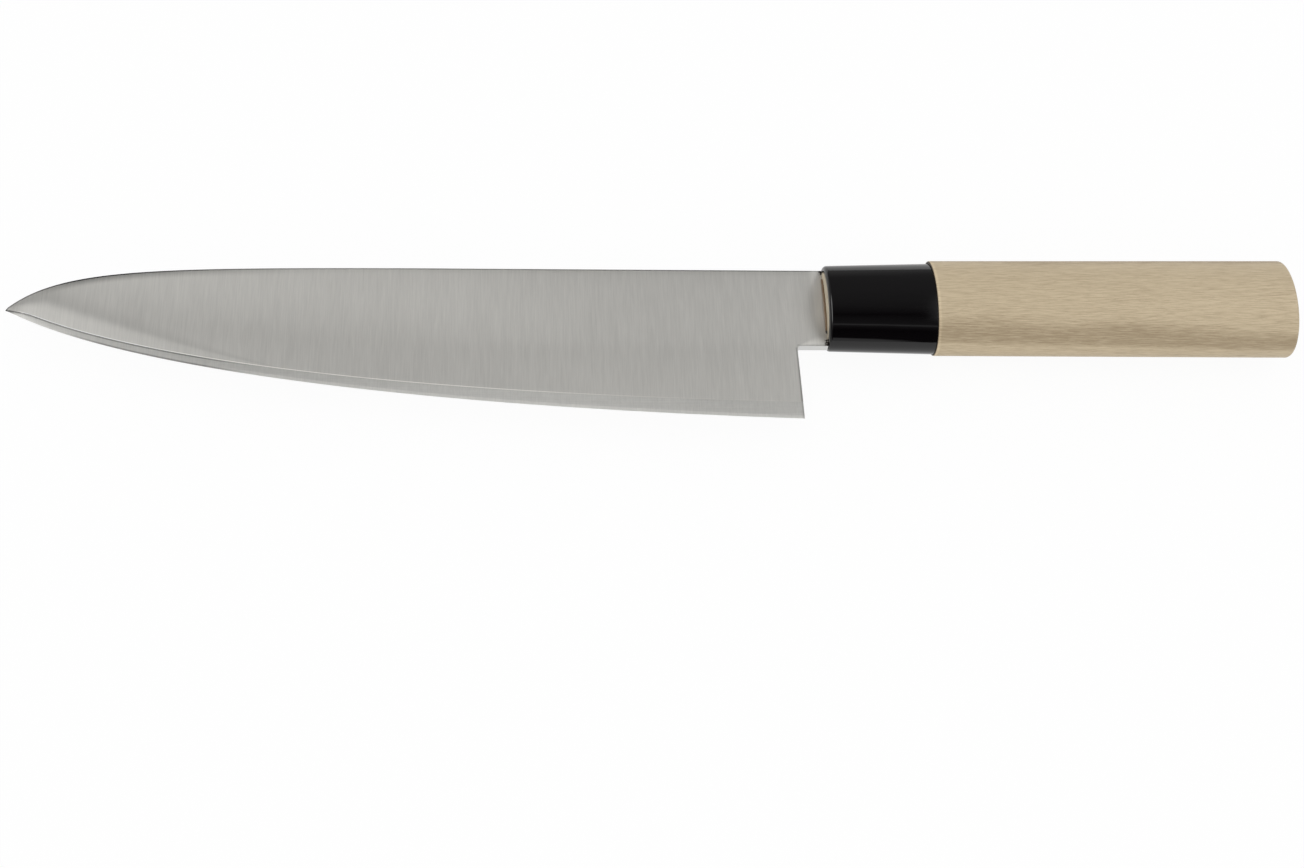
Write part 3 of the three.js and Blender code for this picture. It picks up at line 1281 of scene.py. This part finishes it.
@dataclass
class Handle:
    """Oval wooden handle with a black ferrule round its spigot, and the resin that beds the tang."""

    ferrule_length: float = 0.0293
    wood_length: float = 0.100
    axis_drop: float = 0.00035  # how much lower the axis lies at the front than at the butt
    spigot_front: Size = (0.0107, 0.0065)
    spigot_rear: Size = (0.0112, 0.0070)
    ferrule_fit: float = 0.00012
    ferrule_front: Size = (0.0127, 0.0084)
    ferrule_rear: Size = (0.01346, 0.00895)
    ferrule_drop: float = 0.0002  # how far its outside lies below the axis
    ferrule_round: float = 0.001
    ferrule_edge: float = 0.00015
    wood_front: Size = (0.01408, 0.0094)
    wood_rear: Size = (0.01446, 0.0101)
    wood_ease: float = 0.00035
    spigot_ease: float = 0.0002
    butt_round: float = 0.0009
    cap_margin: float = 0.0006  # ring round the flat ends
    bead: Size = (0.0096, 0.0026)
    bead_depth: float = 0.0005
    bead_round: float = 0.0003
    bead_swell: float = 0.0005
    bead_lump: float = 0.0014  # length of a swelling
    bead_rim: float = 0.0004  # wall of the bead round the end of the neck
    bead_skin: float = 0.00005  # resin behind the end of the neck
    bedding_wall: float = 0.0012
    bedding_fit: float = 0.0001
    tang_fit: float = 0.0001
    end_light: Colour = (0.570, 0.500, 0.378)  # end grain takes less light than the side of the wood
    end_dark: Colour = (0.365, 0.305, 0.215)
    end_slope: float = 0.9  # a face whose normal has more of x than this shows end grain
    sides: int = 128
    round_steps: int = 6

    @property
    def butt(self) -> float:
        """Place of the butt."""
        return self.ferrule_length + self.wood_length

    def oval(self, x: float, size: Size, inset: float = 0.0, drop: float = 0.0) -> Matrix:
        """Matrix that turns the unit circle into an oval round the handle's axis.

        Args:
            x: Place along the handle.
            size: Half height and half width.
            inset: How far the oval is drawn in.
            drop: How far it is lowered.

        Returns:
            The matrix.
        """
        centre = self.axis_drop * (x / self.butt - 1.0) - drop
        turn = Matrix.Rotation(QUARTER_TURN, 4, "Y")
        stretch = Matrix.Diagonal((1.0, size[0] - inset, size[1] - inset, 1.0))
        return Matrix.Translation((x, centre, 0.0)) @ stretch @ turn

    def rounded(self, x: float, inward: float, size: Size, radius: float, drop: float = 0.0) -> list[Matrix]:
        """Rings of a rounded edge, from the end face to the side.

        Args:
            x: Place of the end face.
            inward: 1 where the body lies behind the face along x, -1 where it lies in front.
            size: Half height and half width of the side.
            radius: Radius of the edge.
            drop: How far the rings are lowered.

        Returns:
            Matrices for the rings.
        """
        rings = []
        for step in range(self.round_steps + 1):
            turn = QUARTER_TURN * step / self.round_steps
            depth = radius * (1.0 - math.cos(turn))
            inset = radius * (1.0 - math.sin(turn))
            rings.append(self.oval(x + inward * depth, size, inset, drop))
        return rings

    @staticmethod
    def grown(size: Size, extra: float) -> Size:
        """Size with a clearance added."""
        return size[0] + extra, size[1] + extra

    def wood(self, blade: Blade) -> BMesh:
        """Handle with its spigot, its shoulder and the slot for the bedded tang.

        Args:
            blade: Blade whose tang goes into the slot.

        Returns:
            Closed mesh in the knife's own frame.
        """
        rings = [
            *self.rounded(0.0, 1.0, self.spigot_front, self.spigot_ease),
            self.oval(self.ferrule_length, self.spigot_rear),
            *self.rounded(self.ferrule_length, 1.0, self.wood_front, self.wood_ease),
            *reversed(self.rounded(self.butt, -1.0, self.wood_rear, self.butt_round)),
        ]
        bm = bmesh.new()
        loft(bm, rings, self.sides)
        bmesh.ops.holes_fill(bm, edges=bm.edges, sides=0)
        caps = [end_face(bm, True), end_face(bm, False)]
        bmesh.ops.inset_region(bm, faces=caps, thickness=self.cap_margin)
        wall = self.bedding_wall + self.bedding_fit
        root, end = blade.tang_sizes(wall)
        punch(bm, end_face(bm, False), root, blade.tang_length + wall, end)
        sort_faces(bm, lambda normal: abs(normal.x) > self.end_slope)
        return bm

    def ferrule(self) -> BMesh:
        """Collar with a rounded front and a bore that follows the spigot.

        Returns:
            Closed mesh in the knife's own frame.
        """
        end, drop = self.ferrule_length, self.ferrule_drop
        rings = [
            *self.rounded(0.0, 1.0, self.ferrule_front, self.ferrule_round, drop),
            *reversed(self.rounded(end, -1.0, self.ferrule_rear, self.ferrule_edge, drop)),
            self.oval(end, self.grown(self.spigot_rear, self.ferrule_fit)),
            self.oval(0.0, self.grown(self.spigot_front, self.ferrule_fit)),
        ]
        bm = bmesh.new()
        first, last = loft(bm, rings, self.sides)
        bmesh.ops.bridge_loops(bm, edges=first + last)
        bmesh.ops.recalc_face_normals(bm, faces=bm.faces)
        return bm

    def bedding(self, blade: Blade) -> BMesh:
        """Resin sleeve round the tang with the uneven bead that shows in front of the wood.

        Args:
            blade: Blade whose tang it holds.

        Returns:
            Closed mesh in the knife's own frame.
        """
        rings = [
            *self.rounded(-self.bead_depth, 1.0, self.bead, self.bead_round),
            self.oval(0.0, self.bead),
        ]
        bm = bmesh.new()
        loft(bm, rings, self.sides)
        for vertex in bm.verts:
            swell = self.bead_swell * noise.noise(vertex.co / self.bead_lump)
            vertex.co.z += math.copysign(swell, vertex.co.z)
        bmesh.ops.holes_fill(bm, edges=bm.edges, sides=0)
        wall, fit = self.bedding_wall, self.tang_fit
        sleeve, sleeve_end = blade.tang_sizes(wall)
        hollow, hollow_end = blade.tang_sizes(fit)
        punch(bm, end_face(bm, True), sleeve, blade.tang_length + wall, sleeve_end)
        mouth = (self.bead[0] - self.bead_rim, hollow[1])
        step = punch(bm, end_face(bm, False), mouth, self.bead_depth - self.bead_skin, mouth)
        punch(bm, step, hollow, self.bead_skin + blade.tang_length + fit, hollow_end)
        bmesh.ops.recalc_face_normals(bm, faces=bm.faces)
        return bm

    def dress(self, blade: Blade, origin: Vector) -> None:
        """Build the wood, the ferrule and the bedding in their finishes.

        Args:
            blade: Blade that the handle holds.
            origin: Place of the knife's own origin in the frame of the solids.
        """
        centre, shoulder = tuple(origin), self.ferrule_length
        end_colours = (self.end_light, self.end_dark)
        wood = PaleWood("pale_wood", centre, shoulder).material()
        end_grain = PaleWood("pale_wood_end_grain", centre, shoulder, *end_colours).material()
        polish = BlackPolish("black_polish").material()
        resin = BrownResin("brown_resin", centre).material()
        Piece("handle_wood", "wood_handle", "pale_wood", [wood, end_grain]).place(self.wood(blade), origin)
        Piece("handle_ferrule", "ferrule", "black_plastic", [polish]).place(self.ferrule(), origin)
        Piece("tang_resin", "tang_bedding", "resin", [resin]).place(self.bedding(blade), origin)


# Studio


@dataclass
class Studio:
    """White floor, soft light all round and the camera."""

    floor_half: float = 40.0
    behind: float = 1.0  # background above the floor
    level: float = 0.95  # light of the even dome
    side: Band = Band(0.335, 0.58, 4.35)  # light that gloss sees at the sides
    side_fall: Band = Band(0.85, 0.62)
    side_shift: float = 0.04
    side_floor: float = 0.06  # share of it outside the height of its windows
    window_low: Band = Band(-0.45, -0.20, 0.94)
    window_high: Band = Band(0.55, 0.25)
    # Light that gloss sees between the sides, from the front (-1) over the top (0) to the back (1)
    reflected: tuple[Size, ...] = (
        (-1.0, 0.66),
        (-0.975, 0.66),
        (-0.965, 0.03),
        (-0.72, 0.012),
        (-0.62, 0.07),
        (-0.56, 0.17),
        (-0.545, 0.50),
        (-0.515, 0.50),
        (-0.50, 0.14),
        (-0.30, 0.085),
        (-0.17, 0.03),
        (0.10, 0.145),
        (0.30, 0.19),
        (0.60, 0.22),
        (0.90, 0.20),
        (1.0, 0.33),
    )
    target: Place = (-0.00427, -0.02903, 0.0101)
    distance: float = 0.4729
    pitch: float = math.radians(27.412)
    yaw: float = math.radians(-4.5)
    roll: float = math.radians(-0.04)
    lens: float = 50.0  # millimetres, as Blender takes it
    sensor: float = 36.0
    nearest: float = 0.01  # nearest distance that the camera sees

    def floor(self) -> None:
        """Lay the floor under the knife."""
        bm = bmesh.new()
        bmesh.ops.create_grid(bm, x_segments=1, y_segments=1, size=self.floor_half)
        made = add_object("floor", bm, [PalePaper("pale_paper").material()])

    def light(self) -> None:
        """Light the knife from an even dome, which gloss sees as a dim room between two bright sides."""
        world = bpy.data.worlds.new("studio")
        bpy.context.scene.world = world
        world.use_nodes = True
        graph = Graph(world.node_tree)
        back = graph.part(graph.node("TexCoord", output="Generated"), "Y")
        stops = [(halfway(depth), grey(level)) for depth, level in self.reflected]
        strip = graph.node("ValToRGB", {"stops": stops}, {0: halfway(back)})
        window = self.window_low.over(back) * self.window_high.over(back) + self.side_floor
        aside = abs(back.output("X") + self.side_shift)
        sides = self.side.over(aside) * self.side_fall.over(aside) * window
        mirrored = graph.vector("ADD", strip, graph.shaded(grey(1.0), sides))
        gloss = graph.node("LightPath", output="Is Glossy Ray")
        seen = graph.math("MAXIMUM", gloss.output("Is Camera Ray"), gloss.output("Is Transmission Ray"))
        lit = graph.mixed(gloss, grey(self.level), mirrored)
        colour = graph.mixed(seen, lit, grey(self.behind))
        graph.node("OutputWorld", None, {"Surface": graph.node("Background", None, {"Color": colour})})

    def camera(self) -> None:
        """Set the camera where the photograph was taken from."""
        data = bpy.data.cameras.new("camera")
        data.lens = self.lens
        data.sensor_width = self.sensor
        data.clip_start = self.nearest
        made = bpy.data.objects.new("camera", data)
        turn = Matrix()
        for angle, axis in ((self.pitch, "X"), (self.yaw, "Y"), (self.roll, "Z")):
            turn = turn @ Matrix.Rotation(angle, 4, axis)
        step_back = Matrix.Translation((0.0, 0.0, self.distance))
        made.matrix_world = Matrix.Translation(self.target) @ turn @ step_back
        bpy.context.scene.collection.objects.link(made)
        bpy.context.scene.camera = made

    def build(self) -> None:
        """Set up the floor, the light and the camera."""
        self.floor()
        self.light()
        self.camera()
        bpy.context.scene.view_settings.view_transform = "Standard"


def knife_origin(blade: Blade) -> Vector:
    """Place of the knife's own origin in the frame of the solids.

    Args:
        blade: Blade whose spine gives the height.

    Returns:
        The place.
    """
    core_low, core_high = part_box("core_steel")
    ferrule_low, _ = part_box("ferrule")
    return Vector((ferrule_low.x, core_high.y - blade.spine_level, (core_low.z + core_high.z) / 2.0))


def main() -> None:
    """Build the knife and its studio."""
    logging.basicConfig(level=logging.INFO, format="%(message)s")
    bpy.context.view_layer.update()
    blade = Blade()
    origin = knife_origin(blade)
    LOG.info("knife origin at %.5f, %.5f, %.5f", *origin)
    blade.dress(origin)
    Handle().dress(blade, origin)
    Studio().build()


if __name__ == "__main__":
    main()
